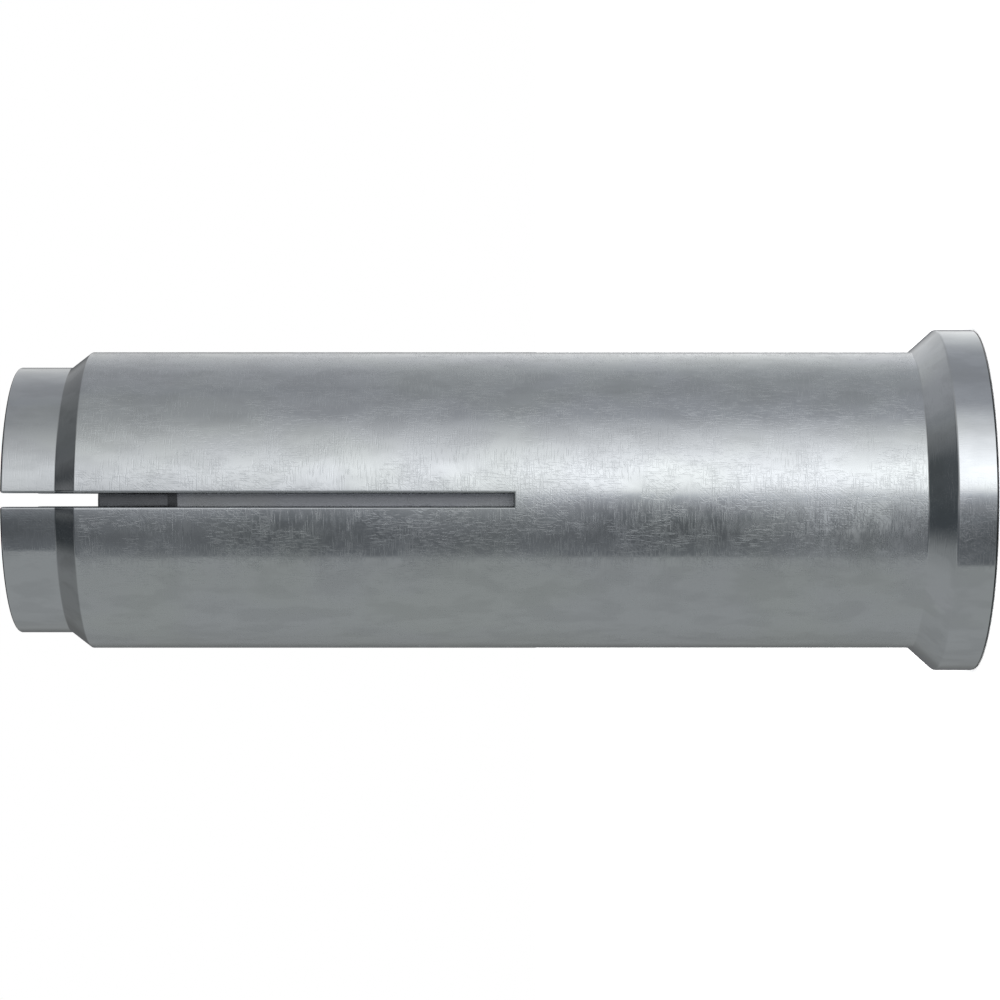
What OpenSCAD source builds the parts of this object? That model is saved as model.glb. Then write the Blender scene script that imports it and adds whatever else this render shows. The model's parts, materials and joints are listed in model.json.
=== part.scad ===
// Drop-in anchor with a 25 mm body and an internal M20 thread.
//
// A turned steel sleeve is dropped into a drilled hole. Its rim stops it at the
// surface. Two saw cuts, crossed, split its tip into segments, and a plug inside
// it is hammered towards the tip, where a taper in the bore makes it wedge the
// segments apart.
//
// The origin is the centre of the rim's end face, with +Z along the axis to the
// tip. The saw cuts lie in the XZ and the YZ plane. Sizes are in millimetres.

/* [Sleeve] */
// Length over all, from the rim's face to the tip
anchor_length = 80; // [76:0.5:90]
// Diameter of the body, for a 25 mm hole
body_d = 24.9; // [24:0.1:26]
// Radius that breaks the turned edges
edge_r = 0.2; // [0.1:0.05:0.5]

/* [Rim] */
// Diameter of the rim, which stops at the hole's edge
rim_d = 28.65; // [27:0.05:32]
// Length of the rim's cylindrical land
rim_land = 3.2; // [2:0.05:5]
// Length of the cone between the land and the body
rim_cone = 2.1; // [1:0.05:4]
// Radius where the land turns into the cone
rim_shoulder_r = 0.35; // [0.1:0.05:1]

/* [Tip] */
// Diameter of the lip at the tip
lip_d = 22.3; // [21:0.1:23]
// Length of the lip
lip_length = 4.45; // [3:0.05:6]
// Length of the cone between the body and the lip
step_cone = 1.7; // [1:0.05:3]
// Radius where the body turns into that cone
step_r = 0.2; // [0.1:0.05:1.5]

/* [Bore] */
// Minor diameter of the M20 thread
thread_minor_d = 17.294; // [17.294:0.01:17.74]
// Depth to the end of the thread's run-out
thread_depth = 36; // [30:0.5:36]
// Outer diameter of the countersink in the mouth
mouth_d = 20.6; // [19:0.1:22]
// Diameter of the plain bore that holds the plug
plug_bore_d = 16.8; // [16.2:0.1:16.9]
// Diameter of the bore at the tip, past the taper
tip_bore_d = 15; // [14:0.1:16]
// Length of the taper between the plain bore and the tip's bore
taper_length = 6.6; // [4:0.1:10]

/* [Saw cuts] */
// Number of cuts across the tip, each of which makes two slots
saw_cuts = 2; // [1:1:3]
// Width of the cuts
slot_w = 1.1; // [0.8:0.05:2]
// Length of a slot on the outside of the body
slot_length = 41.4; // [30:0.1:41.5]
// Diameter of the saw blade, which rounds the bottom of the cut
saw_d = 80; // [63:1:125]

/* [Expander plug] */
// Distance from the tip to the plug's front face
plug_recess = 7.4; // [5:0.1:9]
// Length of the plug
plug_length = 36.2; // [36:0.1:36.6]
// Gap between the plug and the bore, on the radius
plug_gap = 0.05; // [0.01:0.01:0.1]
// Chamfer on the plug's rear end
plug_chamfer = 0.5; // [0.2:0.1:1]
// Chamfer on the front of its nose
nose_chamfer = 0.15; // [0.1:0.05:0.5]
// Diameter of the nose where it meets the shoulder
nose_root_d = 15.2; // [15:0.1:16]
// Length of the shoulder, which wedges the segments apart
nose_shoulder = 0.85; // [0.5:0.05:3]

/* [Hidden] */
turn_fn = 128;
arc_fn = 48;

body_r = body_d / 2;
rim_r = rim_d / 2;
lip_r = lip_d / 2;
mouth_r = mouth_d / 2;
minor_r = thread_minor_d / 2;
plug_bore_r = plug_bore_d / 2;
tip_bore_r = tip_bore_d / 2;

// The countersink and the step below the thread are both cut at 45 degrees
mouth_depth = mouth_r - minor_r;
bore_step = minor_r - plug_bore_r;

lip_z = anchor_length - lip_length;
step_z = lip_z - step_cone;
plug_front_z = anchor_length - plug_recess;
plug_rear_z = plug_front_z - plug_length;
taper_z = plug_front_z - taper_length;

// The blade's centre, where its edge leaves the body at the slot's stated length
saw_r = saw_d / 2;
saw_z = anchor_length - slot_length + sqrt(saw_r * saw_r - body_r * body_r);

// Unit vector along v
function unit(v) = v / norm(v);

// Half the angle between the two edges that meet at corner b
function half_angle(a, b, c) = acos(unit(a - b) * unit(c - b)) / 2;

// Whether the outline, which runs counter-clockwise, turns left at corner b
function is_convex(a, b, c) = cross(b - a, c - b) > 0;

// Position of a corner, which is given as [radius, z, rounding]
function at(corner) = [corner[0], corner[1]];

// Neighbour of corner i in a closed list, step places on
function beside(corners, i, step) = at(corners[(i + step + len(corners)) % len(corners)]);

// Centre of the arc that rounds corner b with radius r
function arc_centre(a, b, c, r) =
    b + unit(unit(a - b) + unit(c - b)) * r / sin(half_angle(a, b, c));

// The two points where that arc leaves the outline
function arc_ends(a, b, c, r) =
    let (reach = r / tan(half_angle(a, b, c)))
    [b + unit(a - b) * reach, b + unit(c - b) * reach];

// Discs on the corners that turn left, or on the others, which round them with true arcs
module arcs(corners, convex) {
    for (i = [0 : len(corners) - 1]) {
        a = beside(corners, i, -1);
        b = at(corners[i]);
        c = beside(corners, i, 1);
        r = corners[i][2];
        if (r > 0 && is_convex(a, b, c) == convex)
            translate(arc_centre(a, b, c, r)) circle(r, $fn = arc_fn);
    }
}

// Half-section through corners [radius, z, rounding], counter-clockwise from the bottom
module half_section(corners) {
    points = [
        for (i = [0 : len(corners) - 1])
            let (b = at(corners[i]), r = corners[i][2])
            each r > 0
                ? arc_ends(beside(corners, i, -1), b, beside(corners, i, 1), r)
                : [b]
    ];
    difference() {
        union() {
            polygon(points);
            arcs(corners, true);
        }
        arcs(corners, false);
    }
}

// Sleeve as it leaves the lathe, before the saw
module turned_sleeve() {
    rotate_extrude($fn = turn_fn) half_section([
        [mouth_r, 0, 0],
        [rim_r, 0, edge_r],
        [rim_r, rim_land, rim_shoulder_r],
        [body_r, rim_land + rim_cone, edge_r],
        [body_r, step_z, step_r],
        [lip_r, lip_z, edge_r],
        [lip_r, anchor_length, edge_r],
        [tip_bore_r, anchor_length, edge_r],
        [tip_bore_r, plug_front_z, 0],
        [plug_bore_r, taper_z, 0],
        [plug_bore_r, thread_depth + bore_step, 0],
        [minor_r, thread_depth, 0],
        [minor_r, mouth_depth, 0],
    ]);
}

// Saw blade at its full depth in the XZ plane
module saw_blade() {
    translate([0, 0, saw_z])
        rotate([90, 0, 0])
            cylinder(d = saw_d, h = slot_w, center = true, $fn = 360);
}

// Sleeve with the rim, the stepped tip, the stepped bore and the crossed cuts.
// The seam of the revolved surfaces is turned to the middle of a segment.
module anchor_sleeve() {
    color("silver")
        difference() {
            rotate([0, 0, 90 / saw_cuts])
                turned_sleeve();
            for (i = [0 : saw_cuts - 1])
                rotate([0, 0, 180 / saw_cuts * i])
                    saw_blade();
        }
}

// Solid plug, whose nose fits the tip's bore and whose shoulder stands at the start of the taper
module expander_plug() {
    plug_r = plug_bore_r - plug_gap;
    front_r = tip_bore_r - plug_gap;
    root_r = nose_root_d / 2;
    root_z = taper_z + nose_shoulder;
    // The nose widens evenly from its front to the shoulder
    nose_slope = (root_r - front_r) / (plug_front_z - root_z);
    color("darkgray")
        rotate_extrude($fn = turn_fn)
            polygon([
                [0, plug_rear_z],
                [plug_r - plug_chamfer, plug_rear_z],
                [plug_r, plug_rear_z + plug_chamfer],
                [plug_r, taper_z],
                [root_r, root_z],
                [front_r + nose_slope * nose_chamfer, plug_front_z - nose_chamfer],
                [front_r - nose_chamfer, plug_front_z],
                [0, plug_front_z],
            ]);
}

anchor_sleeve();
expander_plug();
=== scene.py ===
"""Drop-in anchor with a 25 mm body and an M20 thread: its finished metal and the studio it stands in.

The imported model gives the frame. Both pieces are turned, so each is drawn as a half-section in
millimetres and revolved by Geometry Nodes. The sleeve is then tapped by a thread that is swept
along a helix, and sawn across the tip by two crossed cuts. Every mesh is brought to metres once.
"""
import json
import logging
import math
from collections.abc import Callable
from dataclasses import dataclass
from enum import Enum

import bpy
import numpy as np
from mathutils import Matrix, Vector


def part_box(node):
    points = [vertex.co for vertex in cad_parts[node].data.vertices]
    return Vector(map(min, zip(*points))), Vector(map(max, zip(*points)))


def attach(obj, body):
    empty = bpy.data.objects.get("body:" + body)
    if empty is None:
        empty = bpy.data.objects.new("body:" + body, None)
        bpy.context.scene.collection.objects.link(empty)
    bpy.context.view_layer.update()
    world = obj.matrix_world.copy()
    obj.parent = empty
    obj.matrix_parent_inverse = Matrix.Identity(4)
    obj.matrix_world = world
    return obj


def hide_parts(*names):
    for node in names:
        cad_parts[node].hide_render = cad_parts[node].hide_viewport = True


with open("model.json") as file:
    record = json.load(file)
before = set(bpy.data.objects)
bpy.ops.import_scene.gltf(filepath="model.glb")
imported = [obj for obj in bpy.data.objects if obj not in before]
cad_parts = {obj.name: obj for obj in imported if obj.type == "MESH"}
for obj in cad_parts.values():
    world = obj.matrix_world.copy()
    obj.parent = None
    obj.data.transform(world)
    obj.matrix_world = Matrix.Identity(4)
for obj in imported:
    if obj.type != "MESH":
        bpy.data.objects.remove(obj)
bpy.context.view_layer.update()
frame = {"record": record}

LOG = logging.getLogger("anchor")
MM = 0.001

Socket = bpy.types.NodeSocket
Section = list[tuple[float, float]]
Triple = tuple[float, float, float]
Stops = list[tuple[float, Triple]]

# Radius in millimetres of the circle that a half-section is swept along, and moved back by first
PITCH_CIRCLE_R = 10.0
# Angle in degrees above which two faces that meet stay sharp
CREASE = 32.0
# How far off its radius a turned face's normal may point, as a sine, and how far a sawn wall's has to
TURNED_SIDEWAYS = 0.03
SAWN_SIDEWAYS = 0.99
# How much more the turned and the sawn faces count than a bevel where normals are blended
TRUE_FACE_WEIGHT = 1000.0
# Length below which a vector has no direction, and distance from the axis below which a point is on it
NO_LENGTH = 1e-9
ON_AXIS = 1e-6

# Shift of a pattern along each axis, in metres, for each step of its seed
SEED_SHIFT = (0.031, 0.047, 0.023)
# Levels of the noise between which a stroke fades in
STROKE_LEVELS = (0.61, 0.69)
# In millimetres, the width of a scratch and the steps between the marks of the lathe and of the saw
SCRATCH_WIDTH = 0.065
LATHE_FEED = 0.22
SAW_FEED = 0.3


class Node(Enum):
    """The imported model's two nodes."""

    SLEEVE = "anchor_sleeve"
    PLUG = "expander_plug"


class Body(Enum):
    """The bodies that the pieces ride on."""

    SLEEVE = "sleeve"
    PLUG = "plug"


def mount(name: str) -> dict:
    """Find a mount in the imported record.

    Args:
        name: The mount's name.

    Returns:
        The mount's entry in the record.
    """
    return next(entry for entry in frame["record"]["mounts"] if entry["name"] == name)


def highest(node: Node) -> Vector:
    """Return the highest corner of a node's box in millimetres."""
    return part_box(node.value)[1] / MM


def lowest(node: Node) -> Vector:
    """Return the lowest corner of a node's box in millimetres."""
    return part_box(node.value)[0] / MM


@dataclass(frozen=True)
class Corner:
    """A corner of a half-section.

    Attributes:
        radius: Distance from the axis.
        height: Place along the axis.
        rounding: Radius of the arc that rounds the corner, or 0 for a sharp one.
    """

    radius: float
    height: float
    rounding: float = 0.0

    def place(self) -> Vector:
        """Return the corner as a flat point."""
        return Vector((self.radius, self.height))


def rounded_section(corners: list[Corner], steps: int = 6) -> Section:
    """Draw a closed half-section whose corners are rounded by arcs.

    Args:
        corners: The corners in their order round the section.
        steps: Number of straight pieces in each arc.

    Returns:
        The section's points as (radius, height).
    """
    points: Section = []
    for i, corner in enumerate(corners):
        here = corner.place()
        back = (corners[i - 1].place() - here).normalized()
        ahead = (corners[(i + 1) % len(corners)].place() - here).normalized()
        if corner.rounding == 0.0:
            points.append(tuple(here))
            continue
        half = back.angle(ahead) / 2.0
        centre = here + (back + ahead).normalized() * corner.rounding / math.sin(half)
        reach = corner.rounding / math.tan(half)
        first = here + back * reach - centre
        last = here + ahead * reach - centre
        turn = math.atan2(first.x * last.y - first.y * last.x, first.dot(last))
        for step in range(steps + 1):
            spoke = Matrix.Rotation(turn * step / steps, 2) @ first
            points.append(tuple(centre + spoke))
    return points


def greys(places: list[tuple[float, float]]) -> Stops:
    """Return a ramp's stops, each with one level for all three colours."""
    return [(place, (level,) * 3) for place, level in places]


class Board:
    """A node tree that is wired in a few words."""

    def __init__(self, tree: bpy.types.NodeTree) -> None:
        """Take over a tree and clear it.

        Args:
            tree: The tree to wire.
        """
        self.tree = tree
        tree.nodes.clear()

    def node(self, kind: str, feeds: dict[str | int, object] | None = None,
             **settings: object) -> bpy.types.Node:
        """Add a node, with its settings and what goes into it.

        Args:
            kind: The node's type.
            feeds: For each input, by name or place, a value or the output that is linked to it.
            settings: The node's own properties.

        Returns:
            The new node.
        """
        node = self.tree.nodes.new(kind)
        for name, value in settings.items():
            setattr(node, name, value)
        for socket, value in (feeds or {}).items():
            if isinstance(value, Socket):
                self.tree.links.new(value, node.inputs[socket])
            else:
                node.inputs[socket].default_value = value
        return node

    def math(self, operation: str, *values: object) -> Socket:
        """Add a Math node and return its output.

        Args:
            operation: The node's operation.
            values: Its inputs in order, each a number or an output.

        Returns:
            The node's output.
        """
        return self.node("ShaderNodeMath", dict(enumerate(values)), operation=operation).outputs[0]

    def product(self, first: object, second: object) -> Socket:
        """Return the product of two values."""
        return self.math("MULTIPLY", first, second)

    def ease(self, value: object, low: float, high: float, start: float = 0.0, end: float = 1.0) -> Socket:
        """Return start below low and end above high, with a smooth passage between them.

        Args:
            value: The output that is judged.
            low: Where the passage begins.
            high: Where it ends.
            start: The result below low.
            end: The result above high.

        Returns:
            The result's output.
        """
        feeds = {"Value": value, "From Min": low, "From Max": high, "To Min": start, "To Max": end}
        node = self.node("ShaderNodeMapRange", feeds, interpolation_type="SMOOTHSTEP")
        return node.outputs["Result"]

    def ramp(self, value: object, stops: Stops) -> Socket:
        """Add a Color Ramp.

        Args:
            value: The output that is looked up.
            stops: Pairs of place and colour, from low to high.

        Returns:
            The ramp's colour output.
        """
        node = self.node("ShaderNodeValToRGB", {"Fac": value})
        elements = node.color_ramp.elements
        while len(elements) < len(stops):
            elements.new(1.0)
        for element, (place, colour) in zip(elements, stops):
            element.position = place
            element.color = (*colour, 1.0)
        return node.outputs["Color"]


class FormTree(Board):
    """A Geometry Nodes tree with named inputs, which makes one mesh."""

    def __init__(self, name: str) -> None:
        """Start the tree with its geometry input and output.

        Args:
            name: The tree's name.
        """
        tree = bpy.data.node_groups.new(name, "GeometryNodeTree")
        super().__init__(tree)
        tree.interface.new_socket(name="Half-section", in_out="INPUT", socket_type="NodeSocketGeometry")
        tree.interface.new_socket(name="Form", in_out="OUTPUT", socket_type="NodeSocketGeometry")
        self.inputs = self.node("NodeGroupInput")
        self.values: dict[str, object] = {}

    def size(self, name: str, value: object, kind: str = "NodeSocketFloat") -> Socket:
        """Add a named input to the tree.

        Args:
            name: The input's name.
            value: What the modifier sets it to.
            kind: The socket's type.

        Returns:
            The input's output inside the tree.
        """
        socket = self.tree.interface.new_socket(name=name, in_out="INPUT", socket_type=kind)
        self.values[socket.identifier] = value
        return self.inputs.outputs[name]

    def turned(self, facets: int) -> Socket:
        """Revolve the half-section about the Z axis.

        Args:
            facets: Number of columns round the axis.

        Returns:
            The turned mesh.
        """
        pitch_circle = self.size("Pitch circle radius", PITCH_CIRCLE_R)
        ring = self.node("GeometryNodeCurvePrimitiveCircle", {
            "Resolution": self.size("Facets", facets, "NodeSocketInt"),
            "Radius": pitch_circle,
        })
        outline = self.node("GeometryNodeMeshToCurve", {0: self.inputs.outputs["Half-section"]})
        shift = self.node("ShaderNodeCombineXYZ", {"X": self.product(pitch_circle, -1.0)})
        profile = self.node("GeometryNodeTransform", {
            "Geometry": outline.outputs[0],
            "Translation": shift.outputs[0],
        })
        swept = self.node("GeometryNodeCurveToMesh", {
            "Curve": ring.outputs[0],
            "Profile Curve": profile.outputs[0],
        })
        return swept.outputs["Mesh"]

    def finish(self, form: Socket, material: bpy.types.Material) -> None:
        """End the tree.

        Args:
            form: The finished mesh.
            material: Its material.
        """
        whole = self.node("GeometryNodeRealizeInstances", {0: form})
        dressed = self.node("GeometryNodeSetMaterial", {
            "Geometry": whole.outputs[0],
            "Material": self.size("Finish", material, "NodeSocketMaterial"),
        })
        self.node("NodeGroupOutput", {"Form": dressed.outputs[0]})

    def shape(self, name: str, section: Section,
              modifiers: Callable[[bpy.types.Object], None] | None = None) -> bpy.types.Mesh:
        """Run the tree on a half-section.

        Args:
            name: The new mesh's name.
            section: The half-section, clockwise, in millimetres.
            modifiers: Adds the modifiers that come after the tree.

        Returns:
            A plain mesh in millimetres.
        """
        drawing = bpy.data.meshes.new("half_section")
        edges = [(i, (i + 1) % len(section)) for i in range(len(section))]
        if section[0][0] == section[-1][0] == 0.0:
            edges.pop()
        drawing.from_pydata([(radius, -height, 0.0) for radius, height in section], edges, [])
        blank = bpy.data.objects.new("blank", drawing)
        bpy.context.scene.collection.objects.link(blank)
        modifier = blank.modifiers.new("form", "NODES")
        modifier.node_group = self.tree
        for identifier, value in self.values.items():
            modifier[identifier] = value
        if modifiers:
            modifiers(blank)
        mesh = plain_mesh(blank)
        mesh.name = name
        bpy.data.objects.remove(blank)
        return mesh


def plain_mesh(piece: bpy.types.Object) -> bpy.types.Mesh:
    """Return a new mesh that holds the object as its modifiers leave it."""
    graph = bpy.context.evaluated_depsgraph_get()
    return bpy.data.meshes.new_from_object(
        piece.evaluated_get(graph), preserve_all_data_layers=True, depsgraph=graph)


def read(items: bpy.types.bpy_prop_collection, name: str, width: int = 1) -> np.ndarray:
    """Read one property of all the items of a mesh.

    Args:
        items: The mesh's vertices, loops or polygons.
        name: The property.
        width: How many numbers it has.

    Returns:
        A row for each item, or a flat array where the width is 1.
    """
    values = np.empty(len(items) * width)
    items.foreach_get(name, values)
    return values.reshape(-1, width) if width > 1 else values


def shade_as_turned(mesh: bpy.types.Mesh) -> None:
    """Give every face corner the normal of the true surface, so that no facet shows in a reflection.

    A turned face gets normals that follow the radius. Corners that share a vertex are then blended,
    unless a crease parts them. A sawn wall is marked for its material.

    Args:
        mesh: The mesh.
    """
    owner = np.repeat(np.arange(len(mesh.polygons)), read(mesh.polygons, "loop_total").astype(int))
    vertex = read(mesh.loops, "vertex_index").astype(int)
    face_normals = read(mesh.polygons, "normal", 3)
    spokes = read(mesh.polygons, "center", 3)[:, :2]
    spokes /= np.maximum(np.linalg.norm(spokes, axis=1, keepdims=True), NO_LENGTH)
    outward = (face_normals[:, :2] * spokes).sum(axis=1)
    sideways = np.abs(face_normals[:, 1] * spokes[:, 0] - face_normals[:, 0] * spokes[:, 1])
    turned = sideways < TURNED_SIDEWAYS
    walls = sideways > SAWN_SIDEWAYS
    radial = read(mesh.vertices, "co", 3)[vertex, :2]
    reach = np.linalg.norm(radial, axis=1, keepdims=True)
    radial /= np.maximum(reach, NO_LENGTH)
    corners = face_normals[owner]
    follows = turned[owner] & (reach[:, 0] > ON_AXIS)
    corners[follows, :2] = radial[follows] * outward[owner][follows, None]
    corners /= np.linalg.norm(corners, axis=1, keepdims=True)
    weights = read(mesh.polygons, "area") * np.where(turned | walls, TRUE_FACE_WEIGHT, 1.0)

    order = np.argsort(vertex, kind="stable")
    meeting = np.bincount(vertex)
    starts = np.cumsum(meeting) - meeting
    pairs = meeting[vertex[order]]
    first = np.repeat(order, pairs)
    rank = np.arange(pairs.sum()) - np.repeat(np.cumsum(pairs) - pairs, pairs)
    second = order[np.repeat(starts[vertex[order]], pairs) + rank]
    joined = (corners[first] * corners[second]).sum(axis=1) > math.cos(math.radians(CREASE))
    share = corners[second[joined]] * weights[owner[second[joined]], None]
    blended = np.stack(
        [np.bincount(first[joined], share[:, axis], len(vertex)) for axis in range(3)], axis=1)
    blended /= np.linalg.norm(blended, axis=1, keepdims=True)
    mesh.shade_smooth()
    mesh.normals_split_custom_set(blended)
    mark = mesh.attributes.new("sawn", "FLOAT", "FACE")
    mark.data.foreach_set("value", walls.astype(float))


def finish_piece(name: str, mesh: bpy.types.Mesh, node: Node, body: Body) -> None:
    """Bring a mesh to metres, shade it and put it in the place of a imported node.

    Args:
        name: The piece's name.
        mesh: The mesh in millimetres, with its material.
        node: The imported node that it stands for.
        body: The body that it rides on.
    """
    shade_as_turned(mesh)
    mesh.transform(Matrix.Scale(MM, 4))
    piece = bpy.data.objects.new(name, mesh)
    bpy.context.scene.collection.objects.link(piece)
    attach(piece, body.value)
    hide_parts(node.value)
    LOG.info("%s: %d faces", name, len(mesh.polygons))


class MetalBoard(Board):
    """A material's tree, whose patterns lie on Object coordinates and have their sizes in millimetres."""

    def __init__(self, tree: bpy.types.NodeTree) -> None:
        """Start with the piece's coordinates.

        Args:
            tree: The material's tree.
        """
        super().__init__(tree)
        self.place = self.node("ShaderNodeTexCoord").outputs["Object"]

    def laid(self, size: Triple, seed: float, turn: Triple) -> Socket:
        """Return coordinates that are stretched along turned axes.

        Args:
            size: Size of the pattern's detail along each axis.
            seed: Shifts the pattern.
            turn: Angles in degrees that the axes are turned by.

        Returns:
            The coordinates.
        """
        mapping = self.node("ShaderNodeMapping", {
            "Vector": self.place,
            "Location": tuple(seed * shift for shift in SEED_SHIFT),
            "Rotation": tuple(math.radians(angle) for angle in turn),
            "Scale": tuple(length * MM for length in size),
        }, vector_type="TEXTURE")
        return mapping.outputs[0]

    def grain(self, size: Triple, seed: float, turn: Triple = (0.0, 0.0, 0.0), detail: float = 2.0,
              roughness: float = 0.5) -> Socket:
        """Return cloudy noise around 0.5.

        Args:
            size: Size of its detail along each axis.
            seed: Shifts the pattern.
            turn: Angles in degrees that the axes are turned by.
            detail: Number of finer layers.
            roughness: Strength of the finer layers.

        Returns:
            The noise.
        """
        noise = self.node("ShaderNodeTexNoise", {
            "Vector": self.laid(size, seed, turn),
            "Scale": 1.0,
            "Detail": detail,
            "Roughness": roughness,
        })
        return noise.outputs[0]

    def patches(self, size: Triple, seed: float, low: float, high: float) -> Socket:
        """Return soft patches, 0 where the noise is below low and 1 where it is above high."""
        return self.ease(self.grain(size, seed), low, high)

    def dashes(self, size: Triple, seed: float, turn: Triple = (0.0, 0.0, 0.0)) -> Socket:
        """Return short thin strokes that lie apart, long where the noise is stretched.

        Args:
            size: Size of the noise along each axis.
            seed: Shifts the pattern.
            turn: Angles in degrees that the axes are turned by.

        Returns:
            1 on the strokes and 0 off them.
        """
        return self.ease(self.grain(size, seed, turn, detail=0.0), *STROKE_LEVELS)

    def between(self, value: object, low: float, high: float, passage: float) -> Socket:
        """Return 1 between two places and 0 past them, with a smooth passage at both."""
        rise = self.ease(value, (low - passage) * MM, (low + passage) * MM)
        fall = self.ease(value, (high - passage) * MM, (high + passage) * MM, 1.0, 0.0)
        return self.product(rise, fall)

    def weighted(self, *terms: tuple[object, float]) -> Socket:
        """Return the sum of values that are each multiplied by a number."""
        total: object = 0.0
        for value, factor in terms:
            total = self.math("MULTIPLY_ADD", value, factor, total)
        return total


@dataclass(frozen=True)
class Trace:
    """What a kind of mark does to the metal where it is.

    Attributes:
        roughness: Roughness that it adds.
        height: Height in millimetres that it raises the surface by.
        light: Share of the reflected light that it adds.
    """

    roughness: float = 0.0
    height: float = 0.0
    light: float = 0.0


@dataclass(frozen=True)
class TurnedMetal:
    """Turned steel, plated or plain, with clouds, matt patches, short scratches, the tools' marks and painted
    shade on some stretches and edges.

    Heights are in millimetres.

    Attributes:
        name: The material's name.
        cool: Colour where the surface looks blue.
        warm: Colour where it looks green.
        roughness: Roughness of a clean patch.
        scratched: How strongly scratches show, from 0 to 1.
        handled: Heights between which the surface is handled and worn most.
        painted_shade_span: Heights between which a painted shade darkens the surface, in place of the shadow
            and darker reflections that fall there.
        painted_shade_share: Share of the light that the surface keeps under that painted shade.
        edges: Heights between which the rounded edges of the two ends carry a painted dark line, in place of
            the dark room that they mirror.
        hub: Height of the saw's centre, round which the marks on the sawn walls run.
        idle_wear: Share of the wear that is left outside the handled part.
        idle_scratches: Share of the scratches that is left there.
        scratch: What a scratch does.
        mottle: What a mottled patch does.
        wear: What a worn stretch of plating does.
        handling: What being handled does.
        blotch: What a soft blotch does.
        lathe_ring: What a ring from the lathe does.
        saw_mark: What a sawn wall and the arcs on it do.
        painted_dark_edge: What the painted dark line on the rounded edges of the two ends does.
    """

    name: str
    cool: Triple
    warm: Triple
    roughness: float
    scratched: float = 1.0
    handled: tuple[float, float] = (0.0, 100.0)
    painted_shade_span: tuple[float, float] = (0.0, 0.0)
    painted_shade_share: float = 1.0
    edges: tuple[tuple[float, float], tuple[float, float]] = ((-1.0, -1.0), (-1.0, -1.0))
    hub: float = 0.0
    idle_wear: float = 0.2
    idle_scratches: float = 0.3
    scratch: Trace = Trace(roughness=0.11, height=-0.0036, light=0.03)
    mottle: Trace = Trace(roughness=0.12, height=0.0005)
    wear: Trace = Trace(roughness=0.08)
    handling: Trace = Trace(roughness=0.02)
    blotch: Trace = Trace(light=-0.08)
    lathe_ring: Trace = Trace(height=0.00005)
    saw_mark: Trace = Trace(roughness=0.05, height=0.004)
    painted_dark_edge: Trace = Trace(light=-0.92)

    def scratches(self, board: MetalBoard) -> Socket:
        """Lay short scratches round the piece, along it and slanting, in patches.

        Args:
            board: The material's tree.

        Returns:
            1 in a scratch and 0 beside it.
        """
        here = board.patches(size=(2.6, 2.6, 3.2), seed=2.0, low=0.38, high=0.52)
        there = board.patches(size=(2.4, 2.4, 4.0), seed=4.0, low=0.38, high=0.52)
        round_it = board.dashes(size=(0.95, 0.95, SCRATCH_WIDTH), seed=1.0)
        along_it = board.dashes(size=(SCRATCH_WIDTH, SCRATCH_WIDTH, 0.75), seed=3.0)
        slanting = board.dashes(size=(SCRATCH_WIDTH, 1.0, 1.0), seed=5.0, turn=(0.0, 38.0, 0.0))
        crossed = board.math("MAXIMUM", board.product(round_it, here), board.product(along_it, there))
        return board.math("MAXIMUM", crossed, board.product(board.product(slanting, there), 0.5))

    def worn(self, board: MetalBoard, z: Socket) -> Socket:
        """Return how matt handling has left the body's plating at each height, with broken borders.

        Args:
            board: The material's tree.
            z: The height in metres.

        Returns:
            From 0, bright, to 1, matt.
        """
        reach = 100.0
        waver = 0.1
        broken = board.weighted(
            (board.grain(size=(5.0, 5.0, 2.0), seed=13.0), waver),
            (z, 1.0 / (reach * MM)),
            (1.0, -waver / 2.0))
        return board.ramp(broken, greys([(height / reach, share) for height, share in [
            (5.0, 0.7), (14.0, 0.2), (31.0, 0.0), (40.0, 0.8), (47.5, 0.7), (48.5, 0.1), (52.5, 0.5),
            (58.0, 0.1), (66.0, 0.1), (72.0, 0.9)]]))

    def turning(self, board: MetalBoard) -> Socket:
        """Return the rings that the lathe leaves on every turned surface."""
        axes = board.node("ShaderNodeSeparateXYZ", {0: board.place})
        squares = [board.math("POWER", axes.outputs[axis], 2.0) for axis in range(2)]
        radius = board.math("SQRT", board.math("ADD", *squares))
        ring = board.node("ShaderNodeCombineXYZ", {0: radius, 2: axes.outputs[2]})
        return board.node("ShaderNodeTexNoise", {
            "Vector": ring.outputs[0],
            "Scale": 1.0 / (LATHE_FEED * MM),
            "Detail": 2.0,
        }).outputs[0]

    def sawing(self, board: MetalBoard) -> Socket:
        """Return the arcs that the saw leaves on the walls of its cuts."""
        hub = (0.0, 0.0, self.hub * MM)
        away = board.node("ShaderNodeVectorMath", {0: board.place, 1: hub}, operation="DISTANCE")
        return board.node("ShaderNodeTexNoise", {
            "W": away.outputs["Value"],
            "Scale": 1.0 / (SAW_FEED * MM),
            "Detail": 2.0,
        }, noise_dimensions="1D").outputs[0]

    def tone(self, board: MetalBoard) -> Socket:
        """Return the colour, which wanders between the cool one and the warm one in large clouds."""
        clouds = board.grain(size=(9.0, 9.0, 12.0), seed=12.0, roughness=0.55)
        return board.node("ShaderNodeMix", {
            "Factor": board.ease(clouds, 0.4, 0.62),
            "A": (*self.cool, 1.0),
            "B": (*self.warm, 1.0),
        }, data_type="RGBA").outputs["Result"]

    def light_kept(self, board: MetalBoard, z: Socket, marks: Socket) -> Socket:
        """Return the share of the light that the surface keeps, with painted shade where it is set.

        Args:
            board: The material's tree.
            z: The height in metres.
            marks: 1 in a scratch and 0 beside it.

        Returns:
            The share, about 1 on a clean surface.
        """
        # Painted shade: the set span is darkened, in place of the shadow and darker reflections there
        painted_shade_span = board.between(z, *self.painted_shade_span, passage=0.08)
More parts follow.
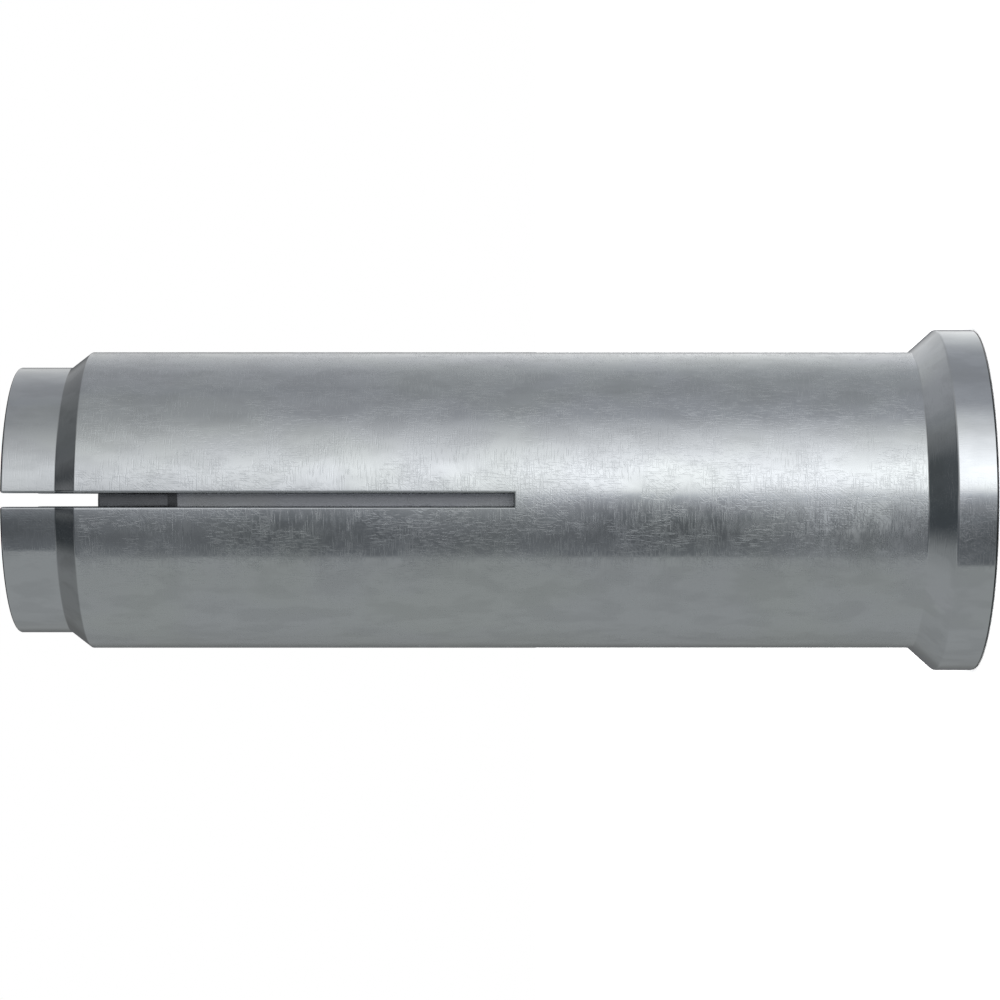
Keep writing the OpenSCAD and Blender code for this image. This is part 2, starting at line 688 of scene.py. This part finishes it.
        # Painted shade: a dark line on the rounded edges of the two ends, in place of the dark room that they
        # mirror
        ends = board.math("ADD", *(board.between(z, low, high, passage=0.003) for low, high in self.edges))
        blotches = board.patches(size=(1.6, 1.6, 3.6), seed=17.0, low=0.42, high=0.62)
        # What the blotches take away is given back evenly
        made_up = 1.0 + 0.035 * self.scratched
        return board.weighted((painted_shade_span, self.painted_shade_share - 1.0), (ends, self.painted_dark_edge.light),
                              (marks, self.scratch.light), (blotches, self.blotch.light * self.scratched),
                              (1.0, made_up))

    def material(self) -> bpy.types.Material:
        """Build the material on Object coordinates.

        Returns:
            The material.
        """
        material = bpy.data.materials.new(self.name)
        material.use_nodes = True
        board = MetalBoard(material.node_tree)
        z = board.node("ShaderNodeSeparateXYZ", {0: board.place}).outputs[2]
        handled = board.between(z, *self.handled, passage=0.3)
        wear, scratching = (
            board.weighted((handled, (1.0 - idle) * self.scratched), (1.0, idle * self.scratched))
            for idle in (self.idle_wear, self.idle_scratches))
        marks = board.product(self.scratches(board), scratching)
        clumps = board.grain(size=(1.6, 1.6, 1.1), seed=11.0, roughness=0.6)
        mottle = board.product(board.ease(clumps, 0.4, 0.62), wear)
        streaks = board.grain(size=(1.0, 1.0, 0.09), seed=15.0, detail=0.0)
        gaps = board.ease(streaks, 0.45, 0.65, 1.0, 0.3)
        worn = board.product(self.worn(board, z), wear)
        sawn = board.node("ShaderNodeAttribute", attribute_name="sawn").outputs["Fac"]
        roughness = board.weighted(
            (marks, self.scratch.roughness), (board.product(mottle, gaps), self.mottle.roughness),
            (worn, self.wear.roughness), (handled, self.handling.roughness),
            (sawn, self.saw_mark.roughness), (1.0, self.roughness))
        colour = board.node("ShaderNodeVectorMath", {
            0: self.tone(board),
            "Scale": self.light_kept(board, z, marks),
        }, operation="SCALE")
        height = board.weighted(
            (marks, self.scratch.height), (mottle, self.mottle.height),
            (self.turning(board), self.lathe_ring.height),
            (board.product(self.sawing(board), sawn), self.saw_mark.height))
        bump = board.node("ShaderNodeBump", {"Height": height, "Distance": MM, "Strength": 1.0})
        shader = board.node("ShaderNodeBsdfPrincipled", {
            "Base Color": colour.outputs[0],
            "Metallic": 1.0,
            "Roughness": roughness,
            "Normal": bump.outputs[0],
        })
        board.node("ShaderNodeOutputMaterial", {"Surface": shader.outputs[0]})
        return material


@dataclass(frozen=True)
class AnchorSleeve:
    """The turned sleeve, with its rim, stepped tip, thread, plain bore, taper and crossed saw cuts.

    Sizes are in millimetres, the thread's flank angle is in degrees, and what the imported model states
    is read from it. The tool that cuts the thread's groove starts thread_lead_in outside the mouth and
    reaches thread_overcut inside the bore's wall. Over the run-out it draws in to run_out_scale of its
    radius, and all of it lies run_out_gap nearer to the mouth, so that it ends in the threaded bore.
    """

    length: float = highest(Node.SLEEVE).z
    rim_r: float = highest(Node.SLEEVE).x
    body_r: float = mount("body")["dims"]["r_mm"]
    minor_r: float = mount("thread")["dims"]["r_mm"]
    plug_front: float = highest(Node.PLUG).z
    edge_r: float = 0.2
    rim_land: float = 3.2
    rim_cone: float = 2.1
    rim_shoulder_r: float = 0.35
    lip_r: float = 11.15
    lip_length: float = 4.45
    step_cone: float = 1.7
    step_r: float = 0.2
    mouth_r: float = 10.3
    plug_bore_r: float = 8.4
    tip_bore_r: float = 7.5
    taper_length: float = 6.6
    thread_depth: float = 36.0
    thread_major_r: float = 10.0
    thread_pitch: float = 2.5
    thread_run_out: float = 2.0
    thread_lead_in: float = 1.0
    thread_overcut: float = 0.25
    thread_flank: float = 30.0
    run_out_scale: float = 0.82
    run_out_gap: float = 0.3
    slot_w: float = 1.1
    slot_length: float = 41.4
    slot_edge_r: float = 0.22
    slot_edge_steps: int = 4
    saw_r: float = 40.0
    saw_cuts: int = 2
    facets: int = 192
    thread_facets: int = 96
    saw_facets: int = 240

    def half_section(self) -> Section:
        """Draw the sleeve as it leaves the lathe, clockwise from the mouth."""
        step_z = self.length - self.lip_length - self.step_cone
        bore_step = self.minor_r - self.plug_bore_r
        return rounded_section([
            Corner(self.mouth_r, 0.0),
            Corner(self.minor_r, self.mouth_r - self.minor_r),
            Corner(self.minor_r, self.thread_depth),
            Corner(self.plug_bore_r, self.thread_depth + bore_step),
            Corner(self.plug_bore_r, self.plug_front - self.taper_length),
            Corner(self.tip_bore_r, self.plug_front),
            Corner(self.tip_bore_r, self.length, self.edge_r),
            Corner(self.lip_r, self.length, self.edge_r),
            Corner(self.lip_r, self.length - self.lip_length, self.edge_r),
            Corner(self.body_r, step_z, self.step_r),
            Corner(self.body_r, self.rim_land + self.rim_cone, self.edge_r),
            Corner(self.rim_r, self.rim_land, self.rim_shoulder_r),
            Corner(self.rim_r, 0.0, self.edge_r),
        ])

    def tap(self, tree: FormTree) -> Socket:
        """Sweep the thread's groove along a right-hand helix.

        Args:
            tree: The sleeve's tree.

        Returns:
            What the tool cuts away, as a solid.
        """
        pitch = tree.size("Thread pitch", self.thread_pitch)
        major = tree.size("Thread major radius", self.thread_major_r)
        start_r = self.minor_r - self.thread_overcut
        depth = tree.math("SUBTRACT", major, start_r)
        turns = (self.thread_depth + self.thread_lead_in) / self.thread_pitch
        helix_r = tree.math("SUBTRACT", major, tree.product(depth, 0.5))
        helix = tree.node("GeometryNodeCurveSpiral", {
            "Resolution": self.thread_facets,
            "Rotations": turns,
            "Start Radius": helix_r,
            "End Radius": helix_r,
            "Height": tree.product(pitch, turns),
            "Reverse": True,
        })
        place = tree.node("GeometryNodeInputPosition")
        parts = tree.node("ShaderNodeSeparateXYZ", {0: place.outputs[0]})
        end = self.thread_pitch * turns
        inward = tree.ease(parts.outputs["Z"], end - self.thread_run_out, end, 1.0, self.run_out_scale)
        squeeze = tree.node("ShaderNodeCombineXYZ", {
            "X": tree.product(parts.outputs["X"], inward),
            "Y": tree.product(parts.outputs["Y"], inward),
            "Z": tree.math("ADD", parts.outputs["Z"], self.thread_depth - end - self.run_out_gap),
        })
        run = tree.node("GeometryNodeSetPosition", {
            "Geometry": helix.outputs[0],
            "Position": squeeze.outputs[0],
        })
        upright = tree.node("GeometryNodeSetCurveNormal", {0: run.outputs[0]}, mode="Z_UP")
        # A metric thread is flat over an eighth of its pitch
        crest = tree.math("DIVIDE", pitch, 8.0)
        flanks = tree.product(depth, 2.0 * math.tan(math.radians(self.thread_flank)))
        groove = tree.node("GeometryNodeCurvePrimitiveQuadrilateral", {
            "Height": depth,
            "Top Width": crest,
            "Bottom Width": tree.math("ADD", crest, flanks),
            "Offset": 0.0,
        }, mode="TRAPEZOID")
        quarter_turn = (0.0, 0.0, -math.pi / 2.0)
        laid = tree.node("GeometryNodeTransform", {0: groove.outputs[0], "Rotation": quarter_turn})
        swept = tree.node("GeometryNodeCurveToMesh", {
            "Curve": upright.outputs[0],
            "Profile Curve": laid.outputs[0],
            "Fill Caps": True,
        })
        return swept.outputs["Mesh"]

    def saw(self, tree: FormTree) -> Socket:
        """Set the saw blade at its full depth, once for each cut.

        Args:
            tree: The sleeve's tree.

        Returns:
            The blades as instances.
        """
        blade_r = tree.size("Saw radius", self.saw_r)
        cuts = tree.size("Saw cuts", self.saw_cuts, "NodeSocketInt")
        blade = tree.node("GeometryNodeMeshCylinder", {
            "Vertices": self.saw_facets,
            "Radius": blade_r,
            "Depth": tree.size("Slot width", self.slot_w),
        })
        hub = self.length - self.slot_length + math.sqrt(self.saw_r ** 2 - self.body_r ** 2)
        stood = tree.node("GeometryNodeTransform", {
            0: blade.outputs["Mesh"],
            "Translation": (0.0, 0.0, hub),
            "Rotation": (math.pi / 2.0, 0.0, 0.0),
        })
        points = tree.node("GeometryNodePoints", {"Count": cuts})
        index = tree.node("GeometryNodeInputIndex")
        turn = tree.product(index.outputs[0], tree.math("DIVIDE", math.pi, cuts))
        about = tree.node("FunctionNodeAxisAngleToRotation", {"Axis": (0.0, 0.0, 1.0), "Angle": turn})
        blades = tree.node("GeometryNodeInstanceOnPoints", {
            "Points": points.outputs[0],
            "Instance": stood.outputs[0],
            "Rotation": about.outputs[0],
        })
        return blades.outputs[0]

    def tree(self, material: bpy.types.Material) -> FormTree:
        """Wire the whole sleeve: turned, tapped, then sawn.

        Args:
            material: The sleeve's material.

        Returns:
            The tree.
        """
        tree = FormTree("anchor_sleeve")
        bar = tree.turned(self.facets)
        tapped = tree.node("GeometryNodeMeshBoolean", {"Mesh 1": bar, "Mesh 2": self.tap(tree)},
                           operation="DIFFERENCE", solver="EXACT")
        sawn = tree.node("GeometryNodeMeshBoolean", {
            "Mesh 1": tapped.outputs["Mesh"],
            "Mesh 2": self.saw(tree),
            "Self Intersection": True,
        }, operation="DIFFERENCE", solver="EXACT")
        marked = tree.node("GeometryNodeStoreNamedAttribute", {
            "Geometry": sawn.outputs["Mesh"],
            "Selection": sawn.outputs["Intersecting Edges"],
            "Name": "bevel_weight_edge",
            "Value": 1.0,
        }, domain="EDGE", data_type="FLOAT")
        tree.finish(marked.outputs[0], material)
        return tree

    def deburr(self, blank: bpy.types.Object) -> None:
        """Round the edges that the saw leaves.

        Args:
            blank: The object that the tree runs on.
        """
        bevel = blank.modifiers.new("slot_edges", "BEVEL")
        bevel.limit_method = "WEIGHT"
        bevel.width = self.slot_edge_r
        bevel.segments = self.slot_edge_steps
        bevel.use_clamp_overlap = False
        bevel.offset_type = "OFFSET"

    def build(self, material: bpy.types.Material) -> None:
        """Make the sleeve.

        Args:
            material: The sleeve's material.
        """
        mesh = self.tree(material).shape("sleeve", self.half_section(), self.deburr)
        finish_piece("sleeve", mesh, Node.SLEEVE, Body.SLEEVE)


@dataclass(frozen=True)
class ExpanderPlug:
    """The solid plug inside the sleeve, whose nose fits the tip's bore.

    Sizes are in millimetres. Points that lie closer than merged, those on the axis, become one.
    """

    front: float = highest(Node.PLUG).z
    rear: float = lowest(Node.PLUG).z
    radius: float = highest(Node.PLUG).x
    nose_r: float = 7.45
    root_r: float = 7.6
    shoulder: float = 0.85
    taper_length: float = 6.6
    nose_chamfer: float = 0.15
    chamfer: float = 0.5
    edge_r: float = 0.08
    edge_steps: int = 3
    merged: float = 0.001
    facets: int = 160

    def half_section(self) -> Section:
        """Draw the plug's half-section, clockwise from the middle of its front face."""
        shoulder_z = self.front - self.taper_length
        root_z = shoulder_z + self.shoulder
        slope = (self.root_r - self.nose_r) / (self.front - root_z)
        return rounded_section([
            Corner(0.0, self.front),
            Corner(self.nose_r - self.nose_chamfer, self.front, self.edge_r),
            Corner(self.nose_r + slope * self.nose_chamfer, self.front - self.nose_chamfer, self.edge_r),
            Corner(self.root_r, root_z, self.edge_r),
            Corner(self.radius, shoulder_z, self.edge_r),
            Corner(self.radius, self.rear + self.chamfer, self.edge_r),
            Corner(self.radius - self.chamfer, self.rear, self.edge_r),
            Corner(0.0, self.rear),
        ], self.edge_steps)

    def build(self, material: bpy.types.Material) -> None:
        """Make the plug.

        Args:
            material: The plug's material.
        """
        tree = FormTree("expander_plug")
        turned = tree.turned(self.facets)
        closed = tree.node("GeometryNodeMergeByDistance", {"Geometry": turned, "Distance": self.merged})
        tree.finish(closed.outputs[0], material)
        mesh = tree.shape("plug", self.half_section())
        finish_piece("plug", mesh, Node.PLUG, Body.PLUG)


class Tint(Enum):
    """The colours of the studio's light."""

    WHITE = (1.0, 1.0, 1.0)
    BLUE = (0.98, 1.0, 1.045)
    GREEN = (0.985, 1.01, 1.0)
    SLATE = (0.96, 1.01, 1.06)


@dataclass(frozen=True)
class Studio:
    """Camera, light and floor.

    The camera lies on its side, so the anchor that stands on its rim lies across the frame. Angles go
    round the anchor's axis from the camera, in degrees, and those towards +X are positive. The height
    of a direction is its part along Z, from -1 to 1.

    Attributes:
        distance: From the camera to the anchor's axis, in millimetres.
        height: The camera's height above the floor, in millimetres.
        half_view: Tangent of half the angle of view.
        key: Level of the softbox.
        fill: Level of the even grey.
        shade: Colour of the dark rings past the anchor's ends.
    """

    distance: float = 247.5
    height: float = 39.68
    half_view: float = 500.0 / 2933.9
    key: float = 1.45
    fill: float = 0.37
    shade: Triple = (0.07, 0.078, 0.084)

    def camera(self) -> None:
        """Set up the camera, with its right side down, towards the rim."""
        data = bpy.data.cameras.new("camera")
        data.sensor_width = 36.0
        data.lens = data.sensor_width / 2.0 / self.half_view
        data.clip_start = 0.01
        data.clip_end = 20.0
        camera = bpy.data.objects.new("camera", data)
        right = Vector((0.0, 0.0, -1.0))
        up = Vector((1.0, 0.0, 0.0))
        back = right.cross(up)
        turned = Matrix((right, up, back)).transposed().to_4x4()
        camera.matrix_world = Matrix.Translation((0.0, -self.distance * MM, self.height * MM)) @ turned
        bpy.context.scene.collection.objects.link(camera)
        bpy.context.scene.camera = camera

    def softbox(self, board: Board, around: Socket) -> Socket:
        """Return the light round the anchor: a softbox, a black flag beside it and even grey all round.

        Args:
            board: The world's tree.
            around: Angle round the anchor, in radians.

        Returns:
            The light's colour.
        """
        whole_turn = 360.0
        share = board.math("MULTIPLY_ADD", around, 0.5 / math.pi, 0.5)
        return board.ramp(share, [
            (angle / whole_turn + 0.5, tuple(level * part for part in tint.value)) for angle, level, tint in [
                (-180.0, 0.16, Tint.BLUE), (-170.0, 0.14, Tint.BLUE), (-158.0, 0.2, Tint.GREEN),
                (-148.0, 0.3, Tint.GREEN), (-110.0, self.fill, Tint.GREEN), (-60.0, 0.36, Tint.GREEN),
                (-44.7, 0.37, Tint.GREEN), (-43.5, 0.17, Tint.SLATE), (-28.0, 0.125, Tint.SLATE),
                (-17.0, 0.145, Tint.SLATE), (-12.0, 0.2, Tint.SLATE), (-7.0, 0.27, Tint.BLUE),
                (-2.5, 0.37, Tint.BLUE), (1.0, 0.49, Tint.BLUE), (4.0, 0.7, Tint.BLUE),
                (6.2, 1.02, Tint.WHITE), (9.5, 1.27, Tint.WHITE), (14.0, 1.38, Tint.WHITE),
                (24.0, self.key, Tint.WHITE), (46.0, 0.88, Tint.WHITE), (68.0, 0.435, Tint.BLUE),
                (92.0, 0.355, Tint.BLUE), (116.0, 0.42, Tint.BLUE), (158.0, 0.95, Tint.WHITE),
                (163.0, 0.6, Tint.WHITE), (168.0, 0.27, Tint.BLUE), (180.0, 0.16, Tint.BLUE),
            ]])

    def slanted(self, board: Board, level: Socket, around: Socket, z: Socket) -> Socket:
        """Slant the softbox, so that it is brighter past the rim than past the tip.

        Args:
            board: The world's tree.
            level: The light's colour.
            around: Angle round the anchor, in radians.
            z: Height of the direction.

        Returns:
            The light's new colour.
        """
        # No place and no level of a ramp may lie below 0, so both are raised
        raised = 0.4
        over = board.node("ShaderNodeVectorMath", {0: level, 1: (self.fill,) * 3}, operation="SUBTRACT")
        key = board.node("ShaderNodeVectorMath", {0: over.outputs[0], 1: (0.0,) * 3}, operation="MAXIMUM")
        lowest_slant = board.ease(around, math.radians(60.0), math.radians(100.0), -1.0, -0.4)
        slope = board.ramp(board.math("ADD", z, raised), greys([
            (place + raised, gain + 1.0) for place, gain in [
                (-0.16, 0.2), (-0.142, 0.06), (-0.125, 0.03), (-0.042, 0.03), (0.116, -0.41), (0.37, -1.0)]]))
        slant = board.math("MAXIMUM", board.math("SUBTRACT", slope, 1.0), lowest_slant)
        change = board.node("ShaderNodeVectorMath", {0: key.outputs[0], "Scale": slant}, operation="SCALE")
        tilted = board.node("ShaderNodeVectorMath", {0: level, 1: change.outputs[0]}, operation="ADD")
        return tilted.outputs[0]

    def cards(self, board: Board, around: Socket, z: Socket) -> Socket:
        """Return the light of three small cards in front of the black flag.

        Args:
            board: The world's tree.
            around: Angle round the anchor, in radians.
            z: Height of the direction.

        Returns:
            The level that they add.
        """
        upper = board.ease(around, math.radians(-3.0), math.radians(6.0), 1.0, 0.0)
        lower = board.ease(around, math.radians(-34.0), math.radians(-16.0), 0.25, 0.56)
        within = board.ease(around, math.radians(-43.7), math.radians(-43.3))
        by_rim = board.product(board.ease(z, -0.12, -0.085, 1.0, 0.0), board.ease(z, -0.143, -0.135))
        by_tip = board.product(board.ease(z, 0.085, 0.115, 0.0, 0.26), board.ease(z, 0.134, 0.146, 1.0, 0.0))
        by_middle = board.ease(board.math("ABSOLUTE", z), 0.01, 0.035, 0.22, 0.0)
        along = board.math("ADD", board.math("ADD", by_rim, by_tip), by_middle)
        return board.product(board.product(upper, lower), board.product(within, along))

    def caps(self, board: Board, around: Socket, x: Socket, z: Socket) -> Socket:
        """Return how much of the light is taken away by the dark rings past the anchor's two ends.

        Args:
            board: The world's tree.
            around: Angle of the direction round the anchor, in radians.
            x: The direction's part along X.
            z: Its height.

        Returns:
            0 where the light is whole and 1 where it is gone.
        """
        half_turn = 180.0
        fill_side = board.ramp(z, greys([
            (0.86, 0.0), (0.88, 0.1), (0.919, 0.26), (0.939, 0.78), (0.952, 0.98), (0.98, 1.0),
            (0.993, 0.1)]))
        toward_key = board.ramp(board.math("DIVIDE", around, math.pi), greys([
            (angle / half_turn, share) for angle, share in [
                (42.0, 0.94), (60.0, 0.91), (71.0, 0.66), (84.0, 0.42), (89.0, 0.28), (100.0, 0.05)]]))
        near = board.product(toward_key, board.ease(z, 0.6, 0.76))
        climb = board.math("MAXIMUM", board.math("SUBTRACT", around, math.radians(100.0)), 0.0)
        behind = board.ease(board.math("MULTIPLY_ADD", climb, 0.54, z), 0.8, 0.89, 0.0, 0.45)
        outer = board.ease(z, 0.98, 0.993, 1.0, 0.1)
        key_side = board.product(board.math("MAXIMUM", near, behind), outer)
        past_tip = board.node("ShaderNodeMix", {
            "Factor": board.ease(x, -0.15, 0.15),
            "A": fill_side,
            "B": key_side,
        }, data_type="RGBA").outputs["Result"]
        past_rim = board.ramp(board.product(z, -1.0), greys([
            (0.8, 0.0), (0.87, 0.9), (0.95, 0.9), (0.98, 0.1)]))
        return board.math("MAXIMUM", past_tip, past_rim)

    def light(self) -> None:
        """Build the room that the metal mirrors, behind a white backdrop that only the camera sees."""
        world = bpy.data.worlds.new("studio")
        world.use_nodes = True
        bpy.context.scene.world = world
        board = Board(world.node_tree)
        look = board.node("ShaderNodeTexCoord")
        x, y, z = board.node("ShaderNodeSeparateXYZ", {0: look.outputs["Generated"]}).outputs
        around = board.math("ARCTAN2", x, board.product(y, -1.0))
        slanted = self.slanted(board, self.softbox(board, around), around, z)
        bands = board.node("ShaderNodeVectorMath", {
            0: slanted,
            1: self.cards(board, around, z),
        }, operation="ADD")
        capped = board.node("ShaderNodeMix", {
            "Factor": self.caps(board, around, x, z),
            "A": bands.outputs[0],
            "B": (*self.shade, 1.0),
        }, data_type="RGBA")
        room = board.node("ShaderNodeBackground", {"Color": capped.outputs["Result"]})
        backdrop = board.node("ShaderNodeBackground", {"Color": (1.0, 1.0, 1.0, 1.0), "Strength": 1.0})
        path = board.node("ShaderNodeLightPath")
        seen = board.node("ShaderNodeMixShader", {
            0: path.outputs["Is Camera Ray"],
            1: room.outputs[0],
            2: backdrop.outputs[0],
        })
        board.node("ShaderNodeOutputWorld", {"Surface": seen.outputs[0]})

    def overhead(self) -> None:
        """Hang the soft overhead light that whitens the floor, and that the metal doesn't mirror."""
        data = bpy.data.lights.new("overhead", "SUN")
        data.energy = 5.0
        data.angle = math.radians(70.0)
        lamp = bpy.data.objects.new("overhead", data)
        lamp.location = (0.0, 0.0, 1.0)
        lamp.visible_glossy = False
        bpy.context.scene.collection.objects.link(lamp)

    def floor(self) -> None:
        """Lay the pale floor, which hides nothing from below and which the metal doesn't mirror."""
        reach = 3.0
        mesh = bpy.data.meshes.new("floor")
        below = -0.02 * MM
        corners = [(x * reach, y * reach, below) for x, y in ((-1, -1), (1, -1), (1, 1), (-1, 1))]
        mesh.from_pydata(corners, [], [(0, 1, 2, 3)])
        floor = bpy.data.objects.new("floor", mesh)
        bpy.context.scene.collection.objects.link(floor)
        material = bpy.data.materials.new("pale_floor")
        material.use_nodes = True
        board = Board(material.node_tree)
        matt = board.node("ShaderNodeBsdfDiffuse", {"Color": (0.9, 0.9, 0.9, 1.0)})
        open_side = board.node("ShaderNodeBsdfTransparent")
        side = board.node("ShaderNodeNewGeometry").outputs["Backfacing"]
        sheet = board.node("ShaderNodeMixShader", {0: side, 1: matt.outputs[0], 2: open_side.outputs[0]})
        board.node("ShaderNodeOutputMaterial", {"Surface": sheet.outputs[0]})
        mesh.materials.append(material)
        floor.visible_glossy = False
        floor.visible_shadow = False

    def build(self) -> None:
        """Set up the camera, the lights, the floor and plain colour management."""
        self.camera()
        self.light()
        self.overhead()
        self.floor()
        bpy.context.scene.view_settings.view_transform = "Standard"


def main() -> None:
    """Build the studio and the two pieces."""
    logging.basicConfig(level=logging.INFO, format="%(name)s %(message)s")
    Studio().build()
    # Painted shade: the sleeve's step cone is darkened, and the rounded edges of its two ends carry a painted
    # dark line
    zinc = TurnedMetal(
        "zinc_plate", cool=(0.6, 0.627, 0.654), warm=(0.6, 0.632, 0.64), roughness=0.05, handled=(5.4, 73.6),
        painted_shade_span=(73.85, 75.55), painted_shade_share=0.6, edges=((0.004, 0.14), (79.89, 79.996)), hub=76.6)
    # Painted shade: the plug's nose, seen down the slots, is darkened
    steel = TurnedMetal(
        "plain_steel", cool=(0.33, 0.34, 0.36), warm=(0.33, 0.34, 0.34), roughness=0.2, scratched=0.2,
        painted_shade_span=(66.0, 73.0), painted_shade_share=0.56)
    AnchorSleeve().build(zinc.material())
    ExpanderPlug().build(steel.material())


if __name__ == "__main__":
    main()
